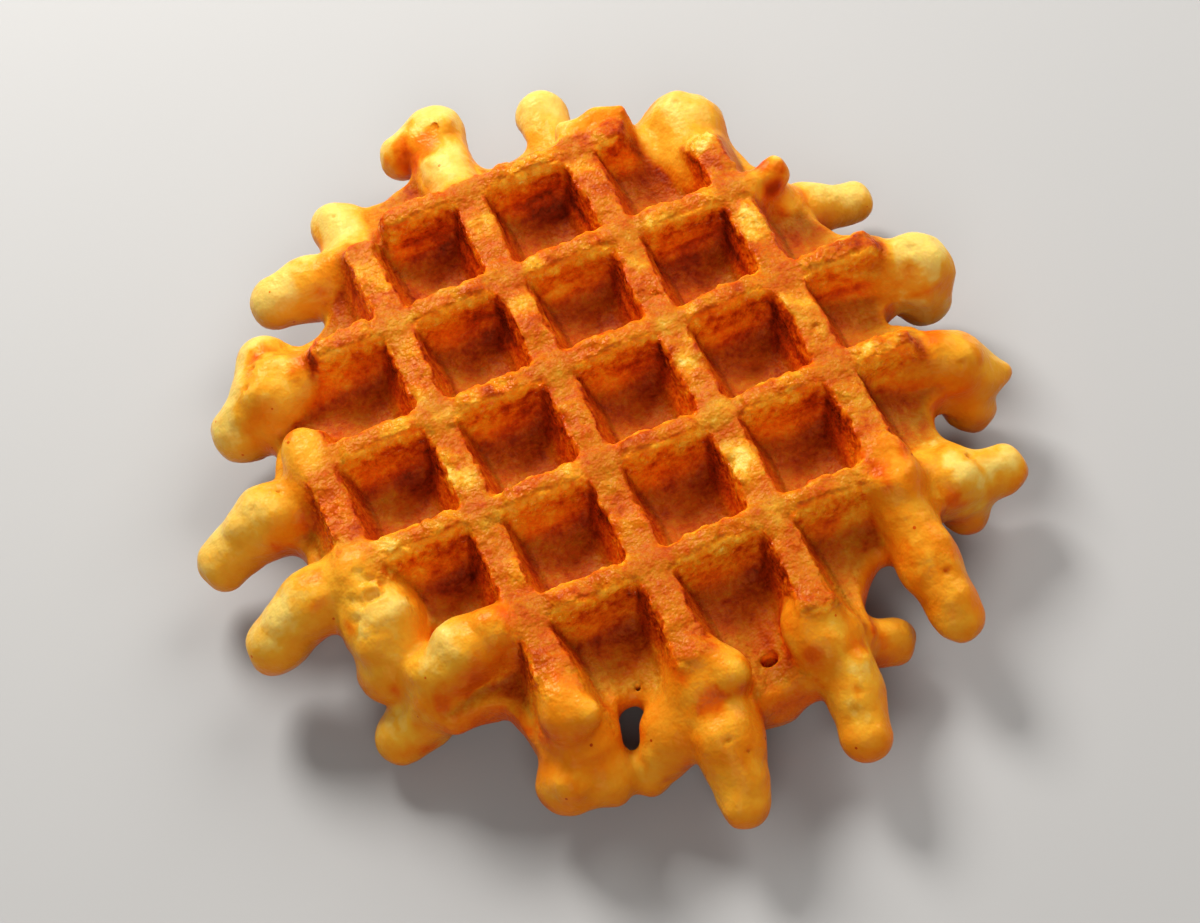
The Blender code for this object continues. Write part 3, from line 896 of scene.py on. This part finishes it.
# Spots that the photo shows, darker than their zone where the last number is positive and paler where
# it is negative: (B coordinate, A coordinate, height, radius, strength)
MARKS = (
    # Painted light on the right lobe, which the lamps leave dim
    (6.12, 2.22, 20.0, 6.0, -0.12),
    (5.60, 4.25, 19.0, 7.0, -0.14),
    (3.97, 5.00, 19.0, 6.0, -0.14),
    (0.27, 3.05, 20.0, 6.0, -0.12),
    (0.93, 4.36, 19.0, 6.0, -0.12),
    (4.36, -0.10, 24.0, 6.0, 0.26),
    (5.38, 0.98, 25.0, 4.5, 0.24),
    (5.80, 2.00, 25.0, 4.5, 0.14),
    (5.30, 1.00, 20.0, 6.0, 0.14),
    (4.86, 0.60, 24.0, 3.6, 0.10),
    (0.80, 2.10, 19.0, 7.0, 0.16),
    (0.80, 0.94, 21.0, 7.0, 0.20),
    (2.86, -0.92, 18.0, 6.0, 0.16),
    (4.98, 4.55, 19.0, 7.0, 0.14),
    (5.00, 5.00, 16.0, 7.0, 0.16),
    (5.40, 0.95, 25.0, 3.6, 0.18),
    # Painted light on the right lobe's shaded lower side
    (6.05, 2.36, 12.0, 6.5, -0.30),
    # Painted light on the right lobe, which the lamps leave dim
    (6.11, 2.20, 20.0, 7.0, -0.16),
    (5.67, 4.09, 15.0, 9.0, -0.16),
    (4.30, 5.00, 12.0, 6.0, -0.10),
    (0.93, 4.12, 10.0, 7.0, -0.14),
    (1.90, -0.42, 18.0, 7.0, -0.12),
    (4.99, -0.12, 20.0, 9.0, 0.07),
    (3.00, 5.45, 15.0, 9.0, 0.04),
    (4.02, 5.30, 18.0, 9.0, -0.12),
    # A painted highlight on this lobe
    (0.98, 3.42, 22.0, 8.0, -0.10),
    (1.35, 4.10, 19.0, 5.0, 0.16),
    (2.83, -0.90, 17.0, 6.0, 0.30),
    (0.93, 1.66, 24.0, 3.5, 0.35),
    (0.95, 0.66, 20.5, 3.0, 0.40),
    (0.75, 0.90, 21.0, 2.6, 0.45),
    (0.72, 0.45, 18.0, 2.4, 0.40),
    (1.22, 1.00, 26.0, 4.0, 0.25),
    (1.00, 2.55, 26.0, 5.0, 0.12),
    (0.56, 3.05, 21.0, 4.5, 0.26),
    (0.80, 3.45, 22.0, 3.0, 0.30),
    (3.20, 5.10, 22.0, 3.2, 0.38),
    (3.83, 5.13, 21.0, 2.6, 0.38),
    (4.14, 5.20, 20.0, 3.0, 0.30),
    (2.98, 5.20, 21.0, 3.5, 0.32),
    (5.90, 2.95, 22.0, 4.0, 0.10),
    (6.05, 2.30, 20.0, 3.0, 0.18),
    (4.88, 3.98, 27.0, 2.2, 0.18),
    (1.85, 5.05, 13.0, 3.0, 0.25),
    (2.62, 0.93, 26.5, 5.0, -0.16),
    (4.53, 2.03, 26.5, 4.0, 0.10),
    (3.98, 1.62, 26.5, 4.0, 0.08),
    (3.00, 3.52, 26.5, 5.0, 0.10),
    (2.54, 3.01, 26.5, 4.0, -0.06),
    (3.54, 0.14, 21.0, 7.0, 0.10),
    (2.52, 2.14, 19.0, 7.0, 0.08),
    (3.57, 1.14, 20.0, 7.0, -0.08),
    (4.36, 1.30, 16.0, 8.0, 0.14),
    (1.46, 2.43, 16.0, 7.0, -0.08),
    (2.00, 1.30, 26.5, 3.0, -0.14),
    (2.00, 1.05, 26.5, 3.6, -0.15),
    (2.00, 2.08, 26.5, 4.2, -0.19),
    (1.98, 2.64, 26.5, 3.4, -0.32),
    (2.06, 3.10, 26.5, 2.6, -0.16),
    (1.20, 3.00, 27.0, 4.4, -0.19),
    (1.24, 4.00, 26.0, 7.0, -0.14),
    (3.02, 0.35, 26.5, 3.2, -0.16),
    (3.02, 1.30, 26.5, 2.6, -0.12),
    (3.00, 2.16, 26.5, 3.0, -0.19),
    (3.02, 3.18, 26.5, 2.2, -0.12),
    (4.02, 1.36, 26.5, 2.2, -0.21),
    (4.00, 2.04, 26.5, 3.4, -0.17),
    (4.00, 2.42, 26.5, 3.2, -0.28),
    (3.98, 3.02, 27.0, 4.4, -0.20),
    (4.00, 3.40, 26.5, 4.0, -0.28),
    (4.00, 4.02, 27.0, 3.8, -0.21),
    (5.00, 1.42, 26.5, 4.4, -0.32),
    (5.00, 2.42, 26.5, 5.0, -0.15),
    (5.02, 3.35, 26.0, 6.0, -0.14),
    (4.99, 0.36, 26.5, 4.0, -0.62),
)


class Crust:
    """The colours of the crust at each point, worked out from the surface before its relief."""

    def __init__(self, points, normals, free, torn, at_body, at_rim):
        self.where = columns(points)
        self.normals = normals
        self.free = free
        self.torn = torn
        self.at_body = at_body
        self.at_rim = at_rim
        x, y, z = self.where
        self.depth = np.minimum(np.abs(THICKNESS - z), np.abs(z))
        # The rounded edge below a rib's top is coloured like the wall
        rounded = rise("rounded edge", np.abs(normals[:, 2]))
        self.steep = blend(steepness(normals), rounded, rise("upper half", self.depth))
        self.band = rise("below the edge", self.depth) * rise("above the middle", self.depth)
        # Each pocket is browner to the right along the wall behind it, partly as painted shade, and darker
        # there with painted shade
        self.corner = blend(CORNER_LEFT, 1.0, rise("right in the pocket", (x / PITCH) % 1.0))
        self.corner *= rise("back in the pocket", (-y / PITCH) % 1.0) * rise("inside the pocket", self.depth)
        from_line = [np.abs(axis / PITCH - np.round(axis / PITCH)) * PITCH for axis in (x, y)]
        self.crossing = rise("at a crossing", np.maximum(*from_line))
        # Glossy patches on the tops, also painted paler and lighter as highlights
        self.shiny = rise("shiny", self.noise("shiny top")) * (1.0 - self.crossing)
        self.crisp = rise("crisp", self.noise("crisp top")) * (1.0 - self.crossing)
        self.rib_top = rise("on a top", self.depth) * (1.0 - self.steep)

    def noise(self, name):
        return crust_noise(self.where, name)

    def wall_brown(self):
        domes, rims = wall_bubbles(self.where)
        to_viewer = rise("to the viewer", -self.normals[:, 1])
        wall = BROWN_WALL + WALL_MOTTLE * self.noise("wall")
        wall += self.band * (BUBBLE_RIM_BROWN * rims - DOME_PALE * domes)
        wall -= FRONT_PALE * to_viewer * rise("just below the edge", self.depth)
        wall -= PATCH_PALE * rise("pale patch", self.noise("pale wall"))
        wall += LAYER_BROWN * rise("between layers", wall_layers(self.where)) * (1.0 - self.band)
        return wall + SIDE_BROWN * rise("to a side", np.abs(self.normals[:, 0]))

    def floor_brown(self):
        floor = BROWN_FLOOR + FLOOR_MOTTLE * self.noise("floor")
        return floor + FLOOR_SPOT_BROWN * rise("floor spot", self.noise("floor spots"))

    def top_brown(self):
        top = BROWN_TOP + TOP_MOTTLE * self.noise("top")
        # Shiny patches are paler as a painted highlight, and crisp ones browner
        return top - SHINY_PAINTED_PALE * self.shiny + CRISP_BROWN * self.crisp

    def lobe_brown(self):
        root = self.at_body + LOBE_ROOT_RAGGED * self.noise("lobe root")
        streaks = [axis * squeeze for axis, squeeze in zip(self.where, STREAKS)]
        scorch = rise("scorched", crust_noise(streaks, "scorch")) * rise("near the body", self.at_body)
        batter = LOBE_MOTTLE * self.noise("batter")
        # Painted shade: browner towards the front, where the light falls off
        batter += LOBE_FRONT_PAINTED_SHADE * rise("in front", self.where[1])
        # Painted shade: browner on the side away from the lamps
        batter += LOBE_SHADE_BROWN * rise("lobe's shaded side, painted browner", self.normals @ LOBE_LIT_SIDE)
        batter += LOBE_ROOT_BROWN * rise("lobe's root", root)
        batter += LOBE_UNDER_BROWN * rise("lobe's underside", self.normals[:, 2])
        return batter + SCORCH_BROWN * scorch * rise("facing up", self.normals[:, 2])

    def brown(self):
        """How brown each point is, but for the torn patches."""
        brown = blend(self.floor_brown(), self.wall_brown(), self.steep)
        # The pockets' corners are browner, partly as painted shade
        brown += CORNER_BROWN_AND_SHADE * self.corner * (CORNER_EVEN + CORNER_MOTTLE * self.noise("corner"))
        brown -= RIM_PALE * rise("near the rim", self.at_rim + RIM_RAGGED * self.noise("pale rim"))
        brown = blend(brown, self.top_brown(), self.rib_top)
        edge = rise("past the edge", self.depth) * rise("not far down", self.depth)
        brown += EDGE_BROWN * rise("right edge", self.normals[:, 0]) * edge
        brown = blend(brown, self.lobe_brown(), self.free)
        ragged = MARK_RAGGED * self.noise("mark edge")
        for b, a, height, radius, strength in MARKS:
            brown += strength * rise("in a mark", gap_to(self.where, b, a, height) / radius + ragged)
        palest = PALEST_WALL * self.steep * (1.0 - self.free)
        return np.maximum(brown, blend(palest, brown, PAST_PALEST))

    def lacy(self):
        """How much the small bubbles in the crust show."""
        top = LACY_TOP + LACY_PATCHY * patchiness(self.where) + LACY_SHINY * self.shiny
        top *= self.rib_top * (1.0 - LACY_LOST_CROSSING * self.crossing)
        lacy = np.maximum(self.band * self.steep, top) * (1.0 - self.free) + LACY_TORN * self.torn
        return lacy * (1.0 - LACY_LOST_RIGHT * rise("to the right", self.normals[:, 0]))

    def tone(self, brown):
        """How light each point is, painted light and shade included."""
        tone = blend(TONE_FLOOR, TONE_WALL, self.steep)
        # Painted shade in the pockets' corners
        tone *= 1.0 - CORNER_PAINTED_SHADE * self.corner
        # Painted shade on walls that face left and on walls that face right
        tone *= 1.0 - LEFT_WALL_PAINTED_SHADE * rise("to a side", -self.normals[:, 0])
        tone *= 1.0 - RIGHT_WALL_PAINTED_SHADE * rise("to the right", self.normals[:, 0])
        # Shiny patches are lighter as a painted highlight
        top = TONE_TOP + SHINY_PAINTED_HIGHLIGHT * self.shiny - CRISP_TONE * self.crisp - CROSSING_TONE * self.crossing
        tone = blend(tone, top, self.rib_top)
        # Pale crust is light, so that it doesn't turn to olive
        pale = rise("pale", brown) * (1.0 - self.free)
        tone = blend(tone, TONE_PALE, np.maximum(PALE_SHARE * pale, self.torn))
        # Painted shade: darker on the lobes' side away from the lamps
        shade = rise("lobe's shaded side, painted darker", self.normals @ LOBE_LIT_SIDE)
        return blend(tone, TONE_LOBE * (1.0 - LOBE_SHADE_TONE * shade), self.free)

    def attributes(self):
        """What the material reads at each point."""
        brown = self.brown()
        return {
            "free": self.free,
            "brown": blend(brown, BROWN_TORN, TORN_SHARE * self.torn),
            "lacy": self.lacy(),
            "tone": self.tone(brown),
        }


def crust_mesh(points, faces, attributes):
    """A mesh in metres from points in mm, four-cornered faces and named values for each point."""
    mesh = bpy.data.meshes.new("waffle_crust")
    mesh.vertices.add(len(points))
    mesh.vertices.foreach_set("co", (points * MM).astype(np.float32).ravel())
    mesh.loops.add(faces.size)
    mesh.loops.foreach_set("vertex_index", faces.astype(np.int32).ravel())
    mesh.polygons.add(len(faces))
    mesh.polygons.foreach_set("loop_start", np.arange(0, faces.size, 4, dtype=np.int32))
    for name, values in attributes.items():
        attribute = mesh.attributes.new(name, "FLOAT", "POINT")
        attribute.data.foreach_set("value", values.astype(np.float32))
    mesh.update(calc_edges=True)
    mesh.validate()
    mesh.polygons.foreach_set("use_smooth", np.ones(len(mesh.polygons), bool))
    return mesh


def thin_out(waffle, triangles):
    """Brings the waffle's mesh down to the most triangles that it may have."""
    full = waffle.data
    reduce = waffle.modifiers.new("Reduce", "DECIMATE")
    reduce.ratio = MOST_TRIANGLES / triangles
    graph = bpy.context.evaluated_depsgraph_get()
    waffle.data = bpy.data.meshes.new_from_object(waffle.evaluated_get(graph))
    waffle.modifiers.remove(reduce)
    bpy.data.meshes.remove(full)
    waffle.data.name = "waffle_crust"


def make_waffle():
    field, whole, body, lobes, rim = waffle_field()
    points, faces = surface_of(field, whole)
    normals = point_normals(points, faces)
    at_body = field.sample(body, points)
    at_lobes = field.sample(lobes, points)
    in_plane = points * (1, 1, 0) + (0, 0, field.low[2])
    at_rim = field.sample(np.repeat(rim[:, :, None], 2, axis=2), in_plane)
    free = free_share(points, at_body, at_lobes, at_rim)
    torn = torn_share(points)
    attributes = Crust(points, normals, free, torn, at_body, at_rim).attributes()
    points = points + normals * relief(points, normals, free, torn)[:, None]
    points[:, 2] = np.clip(points[:, 2], 0.0, None)
    waffle = bpy.data.objects.new("waffle_crust", crust_mesh(points, faces, attributes))
    bpy.context.scene.collection.objects.link(waffle)
    triangles = 2 * len(faces)
    if triangles > MOST_TRIANGLES:
        thin_out(waffle, triangles)
    waffle.data.materials.append(crust_material())
    return waffle


class Nodes:
    """Short ways to add shader nodes to a material."""

    def __init__(self, material):
        material.use_nodes = True
        self.tree = material.node_tree
        self.shader = self.tree.nodes["Principled BSDF"]

    def link(self, source, target):
        self.tree.links.new(source, target)

    def attribute(self, name):
        node = self.tree.nodes.new("ShaderNodeAttribute")
        node.attribute_name = name
        return node.outputs["Fac"]

    def noise(self, scale, detail, roughness):
        place = self.tree.nodes.new("ShaderNodeTexCoord")
        node = self.tree.nodes.new("ShaderNodeTexNoise")
        node.inputs["Scale"].default_value = scale
        node.inputs["Detail"].default_value = detail
        node.inputs["Roughness"].default_value = roughness
        self.link(place.outputs["Object"], node.inputs["Vector"])
        return node.outputs["Fac"]

    def pinholes(self, scale, size):
        """1 in small round dots, and 0 between them."""
        place = self.tree.nodes.new("ShaderNodeTexCoord")
        node = self.tree.nodes.new("ShaderNodeTexVoronoi")
        node.inputs["Scale"].default_value = scale
        self.link(place.outputs["Object"], node.inputs["Vector"])
        return self.math("LESS_THAN", node.outputs["Distance"], size)

    def bubbles(self, scale):
        """0 in the middle of a bubble, and near 1 in the crust between bubbles."""
        place = self.tree.nodes.new("ShaderNodeTexCoord")
        bend = self.tree.nodes.new("ShaderNodeTexNoise")
        bend.inputs["Scale"].default_value = scale * BUBBLE_BEND
        bend.inputs["Detail"].default_value = 2.0
        self.link(place.outputs["Object"], bend.inputs["Vector"])
        shift = self.tree.nodes.new("ShaderNodeVectorMath")
        shift.operation = "MULTIPLY_ADD"
        shift.inputs[1].default_value = (1.0 / scale,) * 3
        self.link(bend.outputs["Color"], shift.inputs[0])
        self.link(place.outputs["Object"], shift.inputs[2])
        node = self.tree.nodes.new("ShaderNodeTexVoronoi")
        node.inputs["Scale"].default_value = scale
        self.link(shift.outputs["Vector"], node.inputs["Vector"])
        return node.outputs["Distance"]

    def ramp(self, source, stops):
        node = self.tree.nodes.new("ShaderNodeValToRGB")
        colours = node.color_ramp.elements
        while len(colours) < len(stops):
            colours.new(0.5)
        for element, (position, colour) in zip(colours, stops):
            element.position = position
            element.color = (*colour, 1.0)
        self.link(source, node.inputs["Fac"])
        return node.outputs["Color"]

    def math(self, operation, first, second):
        node = self.tree.nodes.new("ShaderNodeMath")
        node.operation = operation
        for socket, value in zip(node.inputs, (first, second)):
            if isinstance(value, (int, float)):
                socket.default_value = value
            else:
                self.link(value, socket)
        return node.outputs[0]

    def warm_grey(self, value):
        """A grey that turns to orange as it gets darker."""
        node = self.tree.nodes.new("ShaderNodeCombineColor")
        for socket, power in zip(node.inputs[:3], WARM_POWERS):
            self.link(self.math("POWER", value, power), socket)
        return node.outputs["Color"]

    def line(self, value, start, slope):
        """The start, and as much of the slope as the value says."""
        return self.math("ADD", self.math("MULTIPLY", value, slope), start)

    def centred(self, value, middle=0.5):
        return self.math("SUBTRACT", value, middle)

    def multiply_colours(self, first, second):
        """A Mix node has its factor on socket 0, and takes its colours on sockets 6 and 7."""
        node = self.tree.nodes.new("ShaderNodeMix")
        node.data_type = "RGBA"
        node.blend_type = "MULTIPLY"
        node.inputs[0].default_value = 1.0
        self.link(first, node.inputs[6])
        self.link(second, node.inputs[7])
        return node.outputs[2]

    def bump(self, height, distance, strength, below=None):
        node = self.tree.nodes.new("ShaderNodeBump")
        node.inputs["Distance"].default_value = distance
        if isinstance(strength, float):
            node.inputs["Strength"].default_value = strength
        else:
            self.link(strength, node.inputs["Strength"])
        self.link(height, node.inputs["Height"])
        if below is not None:
            self.link(below, node.inputs["Normal"])
        return node.outputs["Normal"]


def linear(red, green, blue):
    """A colour as seen on a screen, from 0 to 255, as the shader's own numbers."""
    values = []
    for channel in (red, green, blue):
        share = channel / 255
        values.append(share / 12.92 if share <= 0.04045 else ((share + 0.055) / 1.055) ** 2.4)
    return tuple(values)


# How fast red, green and blue fall as the crust gets darker
WARM_POWERS = (1.0, 1.22, 1.5)
CRUST_COLOURS = (
    (0.00, linear(252, 221, 116)),
    (0.15, linear(248, 182, 50)),
    (0.35, linear(243, 146, 22)),
    (0.55, linear(236, 106, 8)),
    (0.75, linear(198, 62, 4)),
    (1.00, linear(120, 32, 4)),
)

# The fine patterns of the crust: scale in waves a metre, detail and roughness
MOTTLE_NOISE = (260.0, 3.0, 0.62)
SPECK_NOISE = (900.0, 1.0, 0.5)
SKIN_NOISE = (420.0, 0.0, 0.5)
GRAIN_NOISE = (1100.0, 1.0, 0.6)
# Pinholes and bubbles: how many there are along a metre, how wide a pinhole is in its share of that, a
# bubble's usual distance value, and the scale of the noise that bends the bubbles, as a share of theirs
PINHOLES = (190.0, 0.055)
BUBBLES_SEEN = 620.0
BUBBLES_FELT = 800.0
BUBBLE_MIDDLE = 0.36
BUBBLE_BEND = 0.8

# How strongly each pattern browns: on free batter, and how much more on pressed crust
MOTTLE_BROWN = (0.16, 0.40)
SPECK_BROWN = (0.12, 0.30)
BUBBLE_BROWN = 0.26
PINHOLE_BROWN = 0.40

# The roughness of plain crust, and how it changes with mottling, small bubbles and free batter
ROUGH = 0.50
ROUGH_MOTTLE = 0.5
GLOSS_LACY = 0.38
GLOSS_FREE = 0.16

# The bumps' heights in metres and their strengths, the grain's as for the browning above
BUBBLE_BUMP = (0.0005, 0.8)
SKIN_BUMP = (0.0010, 0.34)
GRAIN_BUMP = 0.0005
GRAIN_STRENGTH = (0.38, 0.42)


def crust_material():
    material = bpy.data.materials.new("waffle_crust")
    nodes = Nodes(material)
    free = nodes.attribute("free")
    pressed = nodes.math("SUBTRACT", 1.0, free)
    lacy = nodes.attribute("lacy")

    mottle = nodes.centred(nodes.noise(*MOTTLE_NOISE))
    mottle = nodes.math("MULTIPLY", mottle, nodes.line(pressed, *MOTTLE_BROWN))
    specks = nodes.centred(nodes.noise(*SPECK_NOISE))
    specks = nodes.math("MULTIPLY", specks, nodes.line(pressed, *SPECK_BROWN))
    cells = nodes.centred(nodes.bubbles(BUBBLES_SEEN), BUBBLE_MIDDLE)
    cells = nodes.math("MULTIPLY", nodes.math("MULTIPLY", cells, lacy), BUBBLE_BROWN)
    pins = nodes.math("MULTIPLY", nodes.pinholes(*PINHOLES), free)
    spots = nodes.math("ADD", nodes.math("ADD", mottle, specks), cells)
    spots = nodes.math("ADD", spots, nodes.math("MULTIPLY", pins, PINHOLE_BROWN))
    brown = nodes.math("ADD", nodes.attribute("brown"), spots)
    # The tone holds painted light and shade as well as the crust's own lightness
    tone = nodes.warm_grey(nodes.attribute("tone"))
    colour = nodes.multiply_colours(nodes.ramp(brown, CRUST_COLOURS), tone)
    nodes.link(colour, nodes.shader.inputs["Base Color"])

    dull = nodes.line(mottle, ROUGH, ROUGH_MOTTLE)
    gloss = nodes.line(lacy, nodes.math("MULTIPLY", free, GLOSS_FREE), GLOSS_LACY)
    nodes.link(nodes.math("SUBTRACT", dull, gloss), nodes.shader.inputs["Roughness"])
    nodes.shader.inputs["Specular IOR Level"].default_value = 0.12
    nodes.shader.inputs["Specular Tint"].default_value = (1.0, 0.74, 0.4, 1.0)
    nodes.shader.inputs["Subsurface Weight"].default_value = 0.30
    nodes.shader.inputs["Subsurface Radius"].default_value = (1.0, 0.35, 0.08)
    nodes.shader.inputs["Subsurface Scale"].default_value = 0.0025

    crumbly = nodes.bump(nodes.math("MULTIPLY", nodes.bubbles(BUBBLES_FELT), lacy), *BUBBLE_BUMP)
    skin_height, skin_strength = SKIN_BUMP
    skin_strength = nodes.math("MULTIPLY", free, skin_strength)
    skin = nodes.bump(nodes.noise(*SKIN_NOISE), skin_height, skin_strength, crumbly)
    grain = nodes.bump(nodes.noise(*GRAIN_NOISE), GRAIN_BUMP, nodes.line(pressed, *GRAIN_STRENGTH), skin)
    nodes.link(grain, nodes.shader.inputs["Normal"])
    return material


# The camera, as it was worked out from the rib crossings' places in the photograph. Its focal length is
# in the photograph's pixels, its sensor in mm, and its place in pitches from the origin's crossing, at
# the height of the tops.
PHOTO_WIDTH = 1200
FOCAL_PIXELS = 2600.0
SENSOR = 36.0
CAMERA_PLACE = (-2.334427, -11.784426, 16.727302)
CAMERA_RIGHT = (0.919313, -0.376657, -0.113987)
CAMERA_DOWN = (-0.375952, -0.755010, -0.537234)


def make_camera():
    data = bpy.data.cameras.new("camera")
    data.sensor_width = SENSOR
    data.sensor_fit = "HORIZONTAL"
    data.lens = FOCAL_PIXELS * SENSOR / PHOTO_WIDTH
    camera = bpy.data.objects.new("camera", data)
    bpy.context.scene.collection.objects.link(camera)
    right = Vector(CAMERA_RIGHT).normalized()
    up = -Vector(CAMERA_DOWN).normalized()
    back = right.cross(up)
    turn = Matrix((right, up, back)).transposed().to_4x4()
    place = Vector(CAMERA_PLACE) * PITCH * MM
    place.z += THICKNESS * MM
    camera.matrix_world = Matrix.Translation(place) @ turn
    bpy.context.scene.camera = camera


FLOOR_HALF = 2.0
FLOOR_COLOUR = (0.40, 0.41, 0.43, 1.0)
FLOOR_ROUGHNESS = 0.8


def make_floor():
    mesh = bpy.data.meshes.new("floor")
    corners = [(x * FLOOR_HALF, y * FLOOR_HALF, 0) for x, y in ((-1, -1), (1, -1), (1, 1), (-1, 1))]
    mesh.from_pydata(corners, [], [(0, 1, 2, 3)])
    floor = bpy.data.objects.new("floor", mesh)
    bpy.context.scene.collection.objects.link(floor)
    material = bpy.data.materials.new("floor")
    material.use_nodes = True
    shader = material.node_tree.nodes["Principled BSDF"]
    shader.inputs["Base Color"].default_value = FLOOR_COLOUR
    shader.inputs["Roughness"].default_value = FLOOR_ROUGHNESS
    mesh.materials.append(material)


# Each light's place and width in metres, and its power in watts
LIGHTS = {
    "key": ((-0.06, 0.50, 0.46), 0.26, 5.8),
    "side": ((0.75, 0.35, 0.70), 0.7, 7.0),
    "fill": ((-0.3, -0.9, 0.8), 0.8, 6.0),
}
LIGHT_COLOUR = (1.0, 0.95, 0.87)
WORLD_COLOUR = (1.0, 0.95, 0.88, 1.0)
WORLD_STRENGTH = 0.17


def make_light(name, place, size, power):
    data = bpy.data.lights.new(name, "AREA")
    data.shape = "DISK"
    data.size = size
    data.energy = power
    data.color = LIGHT_COLOUR
    light = bpy.data.objects.new(name, data)
    light.location = place
    light.rotation_euler = (-Vector(place)).to_track_quat("-Z", "Y").to_euler()
    bpy.context.scene.collection.objects.link(light)


def make_lights():
    world = bpy.data.worlds.new("studio")
    bpy.context.scene.world = world
    world.use_nodes = True
    background = world.node_tree.nodes["Background"]
    background.inputs["Color"].default_value = WORLD_COLOUR
    background.inputs["Strength"].default_value = WORLD_STRENGTH
    for name, (place, size, power) in LIGHTS.items():
        make_light(name, place, size, power)


make_camera()
make_floor()
make_lights()
waffle = make_waffle()
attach(waffle, "root")
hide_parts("waffle")

view = bpy.context.scene.view_settings
view.view_transform = "Standard"
